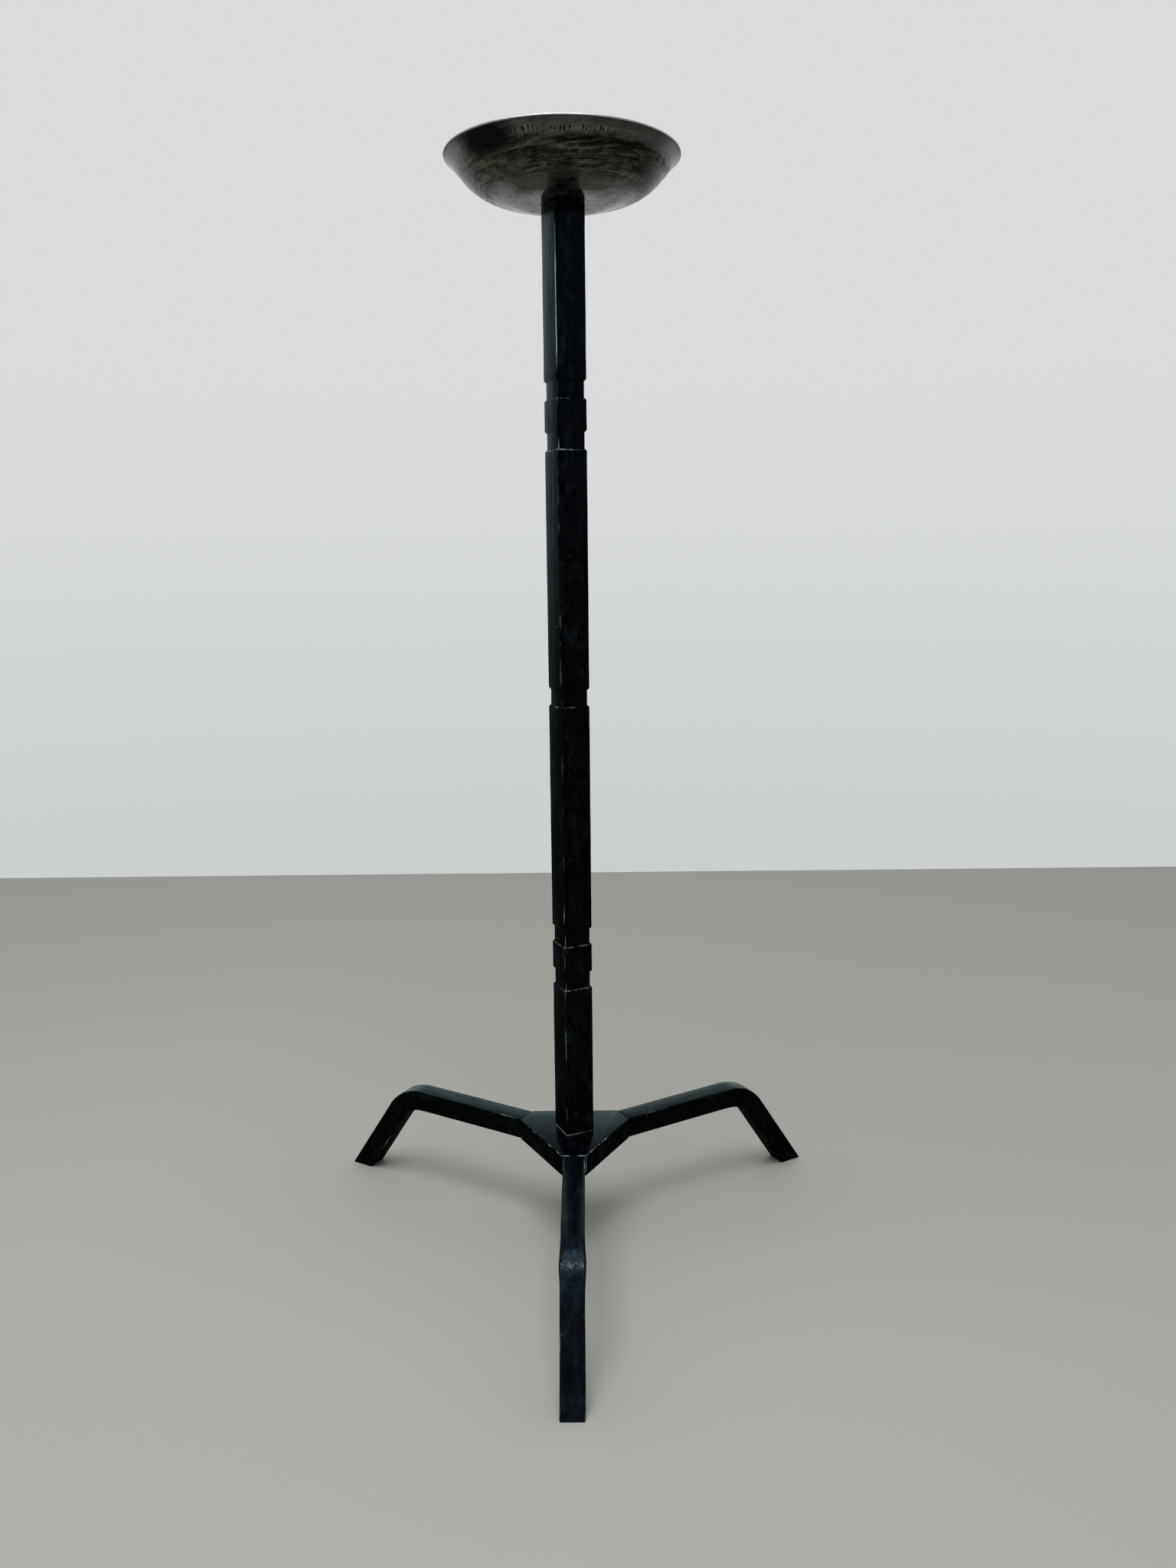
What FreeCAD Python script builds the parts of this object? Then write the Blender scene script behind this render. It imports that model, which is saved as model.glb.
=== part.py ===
import FreeCAD, Part
import os
from math import cos, radians, sin, tan

import Sketcher
from FreeCAD import Vector

# A floor-standing pricket candlestick. A notched square bar stands on a three-cornered plate,
# three bent legs are butted to the plate's cut corners, and a spun steel drip bowl is clamped
# on the bar's head by the collar of a screwed-in spike.
# The origin is on the floor under the stem's axis, +Z is up and the front leg points along -Y.

# Driving sizes, in millimetres and degrees
SIZES = {
    "base_height": 101.0,  # floor to the upper face of the plate
    "stem_width": 28.0,
    "stem_edge_radius": 0.9,
    "stem_turn": 25.0,  # turn of the stem against the base, about +Z
    "foot_length": 145.0,  # plain lengths of the stem, from its foot to its head
    "collar_length": 26.0,
    "span_length": 206.0,
    "head_length": 141.0,
    "notch_length": 16.0,
    "notch_depth": 1.5,
    "notch_slope": 1.2,  # how far each shoulder of a notch leans back along the stem
    "plate_thickness": 20.0,
    "plate_end_distance": 55.0,  # axis to each cut corner
    "plate_end_width": 22.5,
    "plate_edge_bevel": 0.8,
    "leg_width": 20.0,
    "leg_thickness": 20.0,
    "leg_reach": 273.5,  # axis to the toe of a foot
    "leg_angle": 55.7,  # slope of the lower leg below the horizontal
    "knee_radius": 28.0,  # inside of the bend
    "leg_edge_radius": 0.9,
    "stud_diameter": 10.0,
    "stud_length": 40.0,
    "stud_end_gap": 2.0,  # free depth left at each end of a stud
    "thread_clearance": 0.1,  # gap all round a thread, which is drawn as a plain cylinder
    "bolt_diameter": 10.0,
    "bolt_length": 35.0,  # under the head
    "bolt_head_diameter": 16.0,
    "bolt_head_height": 10.0,
    "bolt_socket_width": 8.0,
    "bolt_socket_depth": 5.0,
    "bolt_seat_thickness": 7.0,  # plate left between the bolt's washer and the stem
    "bolt_washer_diameter": 20.0,
    "bolt_washer_thickness": 2.0,
    "bolt_pocket_gap": 1.0,  # gap round the washer in the plate's counterbore
    "bolt_end_gap": 4.0,
    "bowl_sheet": 1.5,
    "bowl_seat_radius": 30.5,  # flat of the bowl on the stem's head
    "dish_bend_radius": 54.0,  # from the seat into the slope of the dish
    "dish_angle": 16.0,
    "dish_length": 17.8,  # straight slope of the dish
    "knuckle_radius": 45.5,
    "wall_angle": 49.4,
    "wall_length": 10.5,
    "lip_radius": 53.0,
    "lip_angle": 38.2,  # slope of the flared lip at the rim
    "spike_shank_diameter": 8.0,
    "spike_shank_length": 25.0,  # under the collar
    "spike_end_gap": 4.0,
    "spike_collar_diameter": 20.0,
    "spike_collar_height": 5.0,
    "spike_collar_bevel": 1.0,
    "spike_base_diameter": 9.0,
    "spike_length": 51.0,  # above the collar
    "spike_tip_diameter": 1.4,
    "spike_washer_diameter": 28.0,
    "spike_washer_thickness": 1.5,
    "hole_clearance": 0.4,  # gap all round a shank in the plate or in the bowl
}

LEG_DIRECTIONS = {"front": 270, "right": 30, "left": 150}

doc = FreeCAD.newDocument("PricketCandlestick")
sheet = doc.addObject("Spreadsheet::Sheet", "Sizes")
for row, (alias, number) in enumerate(SIZES.items(), start=1):
    sheet.set(f"A{row}", alias.replace("_", " "))
    sheet.set(f"B{row}", str(number))
    sheet.setAlias(f"B{row}", alias)
doc.recompute()


def size(alias):
    return float(sheet.get(alias))


# Heights and depths that follow from the driving sizes
STEM_RUNS = ["foot", "notch", "collar", "notch", "span", "notch"]
STEM_RUNS += ["span", "notch", "collar", "notch", "head"]
STEM_LENGTH = " + ".join(f"Sizes.{run}_length" for run in STEM_RUNS)
STEM_TOP = f"(Sizes.base_height + {STEM_LENGTH})"
BOWL_FLOOR = f"({STEM_TOP} + Sizes.bowl_sheet)"
STUD_HOLE_DEPTH = "(Sizes.stud_length / 2 + Sizes.stud_end_gap)"
STUD_HOLE_RADIUS = "(Sizes.stud_diameter / 2 + Sizes.thread_clearance)"
STUD_HEIGHT = "(Sizes.base_height - Sizes.plate_thickness / 2)"
BOLT_SEAT = "(Sizes.base_height - Sizes.bolt_seat_thickness - Sizes.bolt_washer_thickness)"
BOLT_GRIP = "(Sizes.bolt_length - Sizes.bolt_washer_thickness - Sizes.bolt_seat_thickness)"
SPIKE_GRIP = "(Sizes.spike_shank_length - Sizes.spike_washer_thickness - Sizes.bowl_sheet)"

pieces = []


def new_piece(label, height="0", turn="0"):
    """A body named for its piece, raised by height and turned about +Z."""
    body = doc.addObject("PartDesign::Body", label)
    body.Label = label
    body.setExpression("Placement.Base.z", height)
    body.setExpression("Placement.Rotation.Angle", turn)
    pieces.append(body)
    return body


def new_sketch(body, name, plane, offset="0"):
    """A sketch on one of the body's origin planes, moved along the plane's normal by offset."""
    sketch = body.newObject("Sketcher::SketchObject", f"{body.Name}_{name}")
    support = next(f for f in body.Origin.OriginFeatures if f.Role == plane)
    sketch.AttachmentSupport = [(support, "")]
    sketch.MapMode = "FlatFace"
    sketch.setExpression("AttachmentOffset.Base.z", offset)
    return sketch


def bind(sketch, name, expression, *constraint):
    """Add a dimension to a sketch and tie it to the sheet."""
    index = sketch.addConstraint(Sketcher.Constraint(*constraint))
    sketch.renameConstraint(index, name)
    sketch.setExpression(f"Constraints.{name}", expression)


def draw_outline(sketch, corners, tag="corner"):
    """A closed outline of straight lines, each corner placed by two expressions."""
    count = len(corners)
    first = sketch.GeometryCount
    turns = [radians(360 * k / count) for k in range(count)]
    start = [Vector(cos(turn), sin(turn), 0) for turn in turns]
    for k in range(count):
        sketch.addGeometry(Part.LineSegment(start[k], start[(k + 1) % count]))
    for k in range(count):
        sketch.addConstraint(Sketcher.Constraint("Coincident", first + k, 2, first + (k + 1) % count, 1))
    for k, (across, along) in enumerate(corners):
        bind(sketch, f"{tag}{k}_across", across, "DistanceX", -1, 1, first + k, 1, start[k].x)
        bind(sketch, f"{tag}{k}_along", along, "DistanceY", -1, 1, first + k, 1, start[k].y)


def draw_circle(sketch, radius, along="0"):
    """A circle on the sketch's upright axis."""
    circle = sketch.addGeometry(Part.Circle(Vector(0, 0, 0), Vector(0, 0, 1), 1))
    sketch.addConstraint(Sketcher.Constraint("PointOnObject", circle, 3, -2))
    bind(sketch, f"circle{circle}_radius", radius, "Radius", circle, 1)
    bind(sketch, f"circle{circle}_along", along, "DistanceY", -1, 1, circle, 3, 0)


def pad(body, sketch, length, both_sides=False):
    feature = body.newObject("PartDesign::Pad", f"{sketch.Name}_pad")
    feature.Profile = sketch
    feature.Midplane = both_sides
    feature.setExpression("Length", length)
    doc.recompute()
    return feature


def pocket(body, sketch, depth, backwards=False):
    """A cut that has to take material away."""
    before = body.Shape.Volume
    feature = body.newObject("PartDesign::Pocket", f"{sketch.Name}_pocket")
    feature.Profile = sketch
    feature.Reversed = backwards
    feature.setExpression("Length", depth)
    doc.recompute()
    if body.Shape.Volume >= before:
        raise RuntimeError(f"{feature.Name} cuts nothing")
    return feature


def turn_profile(body, sketch):
    """Revolve a profile about the sketch's upright axis."""
    feature = body.newObject("PartDesign::Revolution", f"{sketch.Name}_turned")
    feature.Profile = sketch
    feature.ReferenceAxis = (sketch, ["V_Axis"])
    feature.Angle = 360
    doc.recompute()
    return feature


def repeat_round_axis(body, feature, count):
    """Repeat a cut at equal angles about the body's upright axis."""
    pattern = body.newObject("PartDesign::PolarPattern", f"{feature.Name}_round")
    pattern.Originals = [feature]
    axis = next(f for f in body.Origin.OriginFeatures if f.Role == "Z_Axis")
    pattern.Axis = (axis, [""])
    pattern.Angle = 360
    pattern.Occurrences = count
    body.Tip = pattern
    doc.recompute()


def dress_edges(body, kind, name, chosen, amount):
    """Round or bevel the edges of the body's last feature that the chosen test picks."""
    base = body.Tip
    names = [f"Edge{k}" for k, edge in enumerate(base.Shape.Edges, start=1) if chosen(edge)]
    feature = body.newObject(f"PartDesign::{kind}", f"{body.Name}_{name}")
    feature.Base = (base, names)
    feature.setExpression("Radius" if kind == "Fillet" else "Size", amount)
    doc.recompute()


def is_upright(edge):
    low, high = edge.Vertexes[0].Point, edge.Vertexes[-1].Point
    return abs(low.x - high.x) + abs(low.y - high.y) < 1e-6 < abs(low.z - high.z)


# Stem: one solid square bar, notched all round in five places, tapped at both ends
stem = new_piece("stem_bar", "Sizes.base_height", "Sizes.stem_turn")
section = new_sketch(stem, "section", "XY_Plane")
HALF_STEM = "Sizes.stem_width / 2"
draw_outline(
    section,
    [
        (f"-{HALF_STEM}", f"-{HALF_STEM}"),
        (HALF_STEM, f"-{HALF_STEM}"),
        (HALF_STEM, HALF_STEM),
        (f"-{HALF_STEM}", HALF_STEM),
    ],
)
pad(stem, section, STEM_LENGTH)
dress_edges(stem, "Fillet", "arrises", is_upright, "Sizes.stem_edge_radius")

# The cutter's sides lean, so it reaches past the face by the notch's own depth
notches = new_sketch(stem, "notches", "XZ_Plane")
NOTCH_FLOOR = f"{HALF_STEM} - Sizes.notch_depth"
NOTCH_MOUTH = f"{HALF_STEM} + Sizes.notch_depth"
for index, run in enumerate(STEM_RUNS):
    if run != "notch":
        continue
    lower = " + ".join(f"Sizes.{below}_length" for below in STEM_RUNS[:index])
    upper = f"{lower} + Sizes.notch_length"
    draw_outline(
        notches,
        [
            (NOTCH_FLOOR, f"{lower} + Sizes.notch_slope"),
            (NOTCH_MOUTH, f"{lower} - Sizes.notch_slope"),
            (NOTCH_MOUTH, f"{upper} + Sizes.notch_slope"),
            (NOTCH_FLOOR, f"{upper} - Sizes.notch_slope"),
        ],
        f"notch{index}_",
    )
notch_cut = pocket(stem, notches, "2 * Sizes.stem_width")
notch_cut.Midplane = True
repeat_round_axis(stem, notch_cut, 4)

bolt_hole = new_sketch(stem, "bolt_hole", "XY_Plane")
draw_circle(bolt_hole, "Sizes.bolt_diameter / 2 + Sizes.thread_clearance")
pocket(stem, bolt_hole, f"{BOLT_GRIP} + Sizes.bolt_end_gap", backwards=True)

spike_hole = new_sketch(stem, "spike_hole", "XY_Plane", STEM_LENGTH)
draw_circle(spike_hole, "Sizes.spike_shank_diameter / 2 + Sizes.thread_clearance")
pocket(stem, spike_hole, f"{SPIKE_GRIP} + Sizes.spike_end_gap")

# Plate: a triangle with its corners cut square to the legs, counterbored for the stem's bolt
plate = new_piece("base_plate", "Sizes.base_height - Sizes.plate_thickness")
plan = new_sketch(plate, "plan", "XY_Plane")
END = "Sizes.plate_end_distance"
HALF_END = "Sizes.plate_end_width / 2"
corners = []
for angle in sorted(LEG_DIRECTIONS.values()):
    corners.append((f"{END} * cos({angle}) + {HALF_END} * sin({angle})",
                    f"{END} * sin({angle}) - {HALF_END} * cos({angle})"))
    corners.append((f"{END} * cos({angle}) - {HALF_END} * sin({angle})",
                    f"{END} * sin({angle}) + {HALF_END} * cos({angle})"))
draw_outline(plan, corners)
pad(plate, plan, "Sizes.plate_thickness")
dress_edges(plate, "Chamfer", "edges", lambda edge: True, "Sizes.plate_edge_bevel")

bolt_pocket = new_sketch(plate, "bolt_pocket", "XY_Plane")
draw_circle(bolt_pocket, "Sizes.bolt_washer_diameter / 2 + Sizes.bolt_pocket_gap")
pocket(plate, bolt_pocket, "Sizes.plate_thickness - Sizes.bolt_seat_thickness", backwards=True)
bolt_way = new_sketch(plate, "bolt_way", "XY_Plane")
draw_circle(bolt_way, "Sizes.bolt_diameter / 2 + Sizes.hole_clearance")
pocket(plate, bolt_way, "Sizes.plate_thickness", backwards=True)

stud_hole = new_sketch(plate, "stud_hole", "XZ_Plane", END)
draw_circle(stud_hole, STUD_HOLE_RADIUS, "Sizes.plate_thickness / 2")
stud_cut = pocket(plate, stud_hole, STUD_HOLE_DEPTH)
repeat_round_axis(plate, stud_cut, len(LEG_DIRECTIONS))

# Legs: square bars bent once at the knee and cut flat on the floor, each held by a threaded stud
SLOPE_RUN = "Sizes.base_height / tan(Sizes.leg_angle)"
FOOT_LENGTH = "Sizes.leg_thickness / sin(Sizes.leg_angle)"
KNEE_SHIFT = "Sizes.leg_thickness * tan(Sizes.leg_angle / 2)"
LEG_UNDERSIDE = "Sizes.base_height - Sizes.leg_thickness"
slope = radians(size("leg_angle"))
outer_knee = Vector(size("leg_reach") - size("base_height") / tan(slope), 0, size("base_height"))
inner_knee = outer_knee - Vector(size("leg_thickness") * tan(slope / 2), 0, size("leg_thickness"))


def crosses_at(spot):
    """A test for the edge whose middle is at a spot."""
    return lambda edge: edge.CenterOfMass.distanceToPoint(spot) < 1e-3


def is_long_edge(edge):
    """True on the edges that run the leg's length, round the knee too."""
    on_side = all(abs(abs(v.Point.y) - size("leg_width") / 2) < 1e-6 for v in edge.Vertexes)
    at_end = all(abs(v.Point.x - size("plate_end_distance")) < 1e-6 for v in edge.Vertexes)
    at_floor = all(abs(v.Point.z) < 1e-6 for v in edge.Vertexes)
    lengthwise = abs(edge.Vertexes[0].Point.y - edge.Vertexes[-1].Point.y) < 1e-6
    return on_side and lengthwise and not at_end and not at_floor


for side, angle in LEG_DIRECTIONS.items():
    leg = new_piece(f"leg_{side}", "0", str(angle))
    profile = new_sketch(leg, "profile", "XZ_Plane")
    draw_outline(
        profile,
        [
            (END, "Sizes.base_height"),
            (f"Sizes.leg_reach - {SLOPE_RUN}", "Sizes.base_height"),
            ("Sizes.leg_reach", "0"),
            (f"Sizes.leg_reach - {FOOT_LENGTH}", "0"),
            (f"Sizes.leg_reach - {SLOPE_RUN} - {KNEE_SHIFT}", LEG_UNDERSIDE),
            (END, LEG_UNDERSIDE),
        ],
    )
    pad(leg, profile, "Sizes.leg_width", both_sides=True)
    outside = "Sizes.knee_radius + Sizes.leg_thickness"
    dress_edges(leg, "Fillet", "knee_outside", crosses_at(outer_knee), outside)
    dress_edges(leg, "Fillet", "knee_inside", crosses_at(inner_knee), "Sizes.knee_radius")
    dress_edges(leg, "Fillet", "edges", is_long_edge, "Sizes.leg_edge_radius")

    leg_hole = new_sketch(leg, "stud_hole", "YZ_Plane", END)
    draw_circle(leg_hole, STUD_HOLE_RADIUS, STUD_HEIGHT)
    pocket(leg, leg_hole, STUD_HOLE_DEPTH, backwards=True)

    stud = new_piece(f"leg_stud_{side}", "0", str(angle))
    rod = new_sketch(stud, "rod", "YZ_Plane", END)
    draw_circle(rod, "Sizes.stud_diameter / 2", STUD_HEIGHT)
    pad(stud, rod, "Sizes.stud_length", both_sides=True)

# Bolt: a socket-head screw that comes up through the plate into the stem's foot
bolt = new_piece("stem_bolt", BOLT_SEAT)
bolt_profile = new_sketch(bolt, "profile", "XZ_Plane")
draw_outline(
    bolt_profile,
    [
        ("0", "-Sizes.bolt_head_height"),
        ("Sizes.bolt_head_diameter / 2", "-Sizes.bolt_head_height"),
        ("Sizes.bolt_head_diameter / 2", "0"),
        ("Sizes.bolt_diameter / 2", "0"),
        ("Sizes.bolt_diameter / 2", "Sizes.bolt_length"),
        ("0", "Sizes.bolt_length"),
    ],
)
turn_profile(bolt, bolt_profile)
socket = new_sketch(bolt, "socket", "XY_Plane", "-Sizes.bolt_head_height")
SOCKET_CORNER = "Sizes.bolt_socket_width / sqrt(3)"
draw_outline(
    socket,
    [(f"{SOCKET_CORNER} * cos({turn})", f"{SOCKET_CORNER} * sin({turn})") for turn in range(0, 360, 60)],
)
pocket(bolt, socket, "Sizes.bolt_socket_depth", backwards=True)


def ring_piece(label, height, outer_diameter, hole_diameter, thickness):
    """A flat washer lying at a height."""
    washer = new_piece(label, height)
    ring = new_sketch(washer, "ring", "XY_Plane")
    draw_circle(ring, f"{outer_diameter} / 2")
    draw_circle(ring, f"{hole_diameter} / 2 + Sizes.hole_clearance")
    pad(washer, ring, thickness)


ring_piece("stem_bolt_washer", BOLT_SEAT,
           "Sizes.bolt_washer_diameter", "Sizes.bolt_diameter", "Sizes.bolt_washer_thickness")
ring_piece("pricket_washer", BOWL_FLOOR,
           "Sizes.spike_washer_diameter", "Sizes.spike_shank_diameter", "Sizes.spike_washer_thickness")

# Bowl: spun sheet, a flat seat, a gently sloping dish, a knuckle, a steep wall and a flared lip
bowl = new_piece("drip_bowl", STEM_TOP)
bowl_profile = new_sketch(bowl, "profile", "XZ_Plane")


def heading(angle_name):
    """Unit vectors along and square to (to the inside of) a sheet that climbs at an angle."""
    angle = radians(size(angle_name))
    return Vector(cos(angle), sin(angle), 0), Vector(-sin(angle), cos(angle), 0)


dish_way, dish_in = heading("dish_angle")
wall_way, wall_in = heading("wall_angle")
lip_in = heading("lip_angle")[1]
seat_end = Vector(size("bowl_seat_radius"), 0, 0)
bend_centre = seat_end + Vector(0, size("dish_bend_radius"), 0)
bend_end = bend_centre - dish_in * size("dish_bend_radius")
dish_end = bend_end + dish_way * size("dish_length")
knuckle_centre = dish_end + dish_in * size("knuckle_radius")
knuckle_end = knuckle_centre - wall_in * size("knuckle_radius")
wall_end = knuckle_end + wall_way * size("wall_length")
lip_centre = wall_end - wall_in * size("lip_radius")
rim = lip_centre + lip_in * size("lip_radius")
rim_middle = Vector(0, rim.y, 0)


def arc_between(centre, radius_name, first, last):
    """An arc drawn anticlockwise about its centre from first to last."""
    circle = Part.Circle(centre, Vector(0, 0, 1), size(radius_name))
    return Part.ArcOfCircle(circle, circle.parameter(first), circle.parameter(last))


SEAT, BEND, DISH, KNUCKLE, WALL, LIP, MOUTH, AXIS = bowl_profile.addGeometry(
    [
        Part.LineSegment(Vector(0, 0, 0), seat_end),
        arc_between(bend_centre, "dish_bend_radius", seat_end, bend_end),
        Part.LineSegment(bend_end, dish_end),
        arc_between(knuckle_centre, "knuckle_radius", dish_end, knuckle_end),
        Part.LineSegment(knuckle_end, wall_end),
        arc_between(lip_centre, "lip_radius", rim, wall_end),
        Part.LineSegment(rim, rim_middle),
        Part.LineSegment(rim_middle, Vector(0, 0, 0)),
    ]
)
for rule in [
    ("Coincident", SEAT, 1, -1, 1),
    ("Horizontal", SEAT),
    ("Tangent", SEAT, 2, BEND, 1),
    ("Tangent", BEND, 2, DISH, 1),
    ("Tangent", DISH, 2, KNUCKLE, 1),
    ("Tangent", KNUCKLE, 2, WALL, 1),
    ("Tangent", WALL, 2, LIP, 2),
    ("Coincident", LIP, 1, MOUTH, 1),
    ("Horizontal", MOUTH),
    ("Coincident", MOUTH, 2, AXIS, 1),
    ("Coincident", AXIS, 2, SEAT, 1),
    ("Vertical", AXIS),
]:
    bowl_profile.addConstraint(Sketcher.Constraint(*rule))
bind(bowl_profile, "seat", "Sizes.bowl_seat_radius", "Distance", SEAT, seat_end.x)
bind(bowl_profile, "bend", "Sizes.dish_bend_radius", "Radius", BEND, size("dish_bend_radius"))
bind(bowl_profile, "bend_turn", "Sizes.dish_angle", "Angle", BEND, radians(size("dish_angle")))
bind(bowl_profile, "dish", "Sizes.dish_length", "Distance", DISH, size("dish_length"))
bind(bowl_profile, "knuckle", "Sizes.knuckle_radius", "Radius", KNUCKLE, size("knuckle_radius"))
bind(bowl_profile, "knuckle_turn", "Sizes.wall_angle - Sizes.dish_angle",
     "Angle", KNUCKLE, radians(size("wall_angle") - size("dish_angle")))
bind(bowl_profile, "wall", "Sizes.wall_length", "Distance", WALL, size("wall_length"))
bind(bowl_profile, "lip", "Sizes.lip_radius", "Radius", LIP, size("lip_radius"))
bind(bowl_profile, "lip_turn", "Sizes.wall_angle - Sizes.lip_angle",
     "Angle", LIP, radians(size("wall_angle") - size("lip_angle")))
full_bowl = turn_profile(bowl, bowl_profile)
mouth_faces = [
    f"Face{k}"
    for k, face in enumerate(full_bowl.Shape.Faces, start=1)
    if face.CenterOfMass.distanceToPoint(Vector(0, 0, rim.y)) < 1e-3
]
shell = bowl.newObject("PartDesign::Thickness", "drip_bowl_sheet")
shell.Base = (full_bowl, mouth_faces)
shell.Reversed = True
shell.setExpression("Value", "Sizes.bowl_sheet")
doc.recompute()
bowl_hole = new_sketch(bowl, "hole", "XY_Plane")
draw_circle(bowl_hole, "Sizes.spike_shank_diameter / 2 + Sizes.hole_clearance")
pocket(bowl, bowl_hole, "2 * Sizes.bowl_sheet", backwards=True)

# Spike: a turned pin with a collar that clamps the bowl, screwed into the stem's head
spike = new_piece("pricket_spike", f"{BOWL_FLOOR} + Sizes.spike_washer_thickness")
spike_profile = new_sketch(spike, "profile", "XZ_Plane")
COLLAR_RADIUS = "Sizes.spike_collar_diameter / 2"
draw_outline(
    spike_profile,
    [
        ("0", "-Sizes.spike_shank_length"),
        ("Sizes.spike_shank_diameter / 2", "-Sizes.spike_shank_length"),
        ("Sizes.spike_shank_diameter / 2", "0"),
        (COLLAR_RADIUS, "0"),
        (COLLAR_RADIUS, "Sizes.spike_collar_height - Sizes.spike_collar_bevel"),
        (f"{COLLAR_RADIUS} - Sizes.spike_collar_bevel", "Sizes.spike_collar_height"),
        ("Sizes.spike_base_diameter / 2", "Sizes.spike_collar_height"),
        ("Sizes.spike_tip_diameter / 2", "Sizes.spike_collar_height + Sizes.spike_length"),
        ("0", "Sizes.spike_collar_height + Sizes.spike_length"),
    ],
)
turn_profile(spike, spike_profile)

# Every feature has to be sound before a file is written
doc.recompute()
for item in doc.Objects:
    if "Invalid" in item.State or "Error" in item.State:
        raise RuntimeError(f"{item.Name} failed: {item.State}")
for piece in pieces:
    shape = piece.Shape
    if shape.isNull() or not shape.isValid() or len(shape.Solids) != 1:
        raise RuntimeError(f"{piece.Label} is not one sound solid")

os.makedirs("parts", exist_ok=True)
for piece in pieces:
    piece.Shape.exportStep(f"parts/{piece.Label}.step")
    box = piece.Shape.BoundBox
    print(f"{piece.Label}: {piece.Shape.Volume:.0f} mm3, z {box.ZMin:.2f} to {box.ZMax:.2f}")
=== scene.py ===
import math
import random

import bmesh
import bpy
from mathutils import Matrix, Vector, noise


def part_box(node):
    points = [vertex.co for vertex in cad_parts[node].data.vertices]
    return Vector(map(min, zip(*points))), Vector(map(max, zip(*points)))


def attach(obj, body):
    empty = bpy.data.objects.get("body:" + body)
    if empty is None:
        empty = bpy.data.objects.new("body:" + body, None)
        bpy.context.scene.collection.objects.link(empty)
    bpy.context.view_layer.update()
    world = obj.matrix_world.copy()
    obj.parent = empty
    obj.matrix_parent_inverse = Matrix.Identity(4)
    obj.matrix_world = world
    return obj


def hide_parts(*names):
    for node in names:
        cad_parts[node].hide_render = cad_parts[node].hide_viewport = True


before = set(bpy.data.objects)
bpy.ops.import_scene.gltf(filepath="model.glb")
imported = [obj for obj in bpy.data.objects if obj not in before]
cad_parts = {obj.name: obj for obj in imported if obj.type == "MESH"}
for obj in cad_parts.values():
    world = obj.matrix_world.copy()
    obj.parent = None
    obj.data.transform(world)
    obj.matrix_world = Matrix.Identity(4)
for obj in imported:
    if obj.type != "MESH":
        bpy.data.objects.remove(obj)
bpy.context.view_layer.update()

# Base plate: a thick triangle of black-painted steel with its corners cut square for the legs.
# It is flame-cut and dressed, so every edge has a small round that the paint is wearing off,
# and it is counterbored from below for the bolt that holds the stem.
PLATE_LOW, PLATE_TOP = (corner.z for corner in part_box("base_plate"))
PLATE_END = 0.055
PLATE_END_WIDTH = 0.0225
PLATE_EDGE_ROUND = 0.0008
ROUND_STEPS = 4
SMOOTH_ANGLE = math.radians(40)
LEG_ANGLES = {"front": 270, "right": 30, "left": 150}
BOLT_POCKET_RADIUS = 0.011
BOLT_POCKET_DEPTH = 0.013
BOLT_POCKET_FACETS = 48
PLATE_POLISH = 0.73
SIDE_POLISH = 0.045
# Wear of the plate's edges on its front end and elsewhere, and a round's flanks as a share of its crest
FRONT_WEAR, PLATE_WEAR = 0.62, 0.15
FRONT_ZONE = 0.001
FLANK_WEAR = 0.7
# Places closer than this count as the same
TINY = 1e-5

PAINT_BLACK = (0.0013, 0.0017, 0.0020, 1)
PAINT_GREY = (0.0030, 0.0038, 0.0045, 1)
PAINT_POLISHED = (0.0016, 0.0032, 0.0062, 1)
PAINT_GLOSS = (0.88, 1.0, 1.0, 1)
PAINT_DUSTY = (0.016, 0.020, 0.0235, 1)
PAINT_RUB_AND_SHEEN = (0.028, 0.047, 0.066, 1)
PAINT_SCUFFED = (0.140, 0.152, 0.165, 1)
WORN_STEEL = (0.43, 0.465, 0.49, 1)


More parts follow.
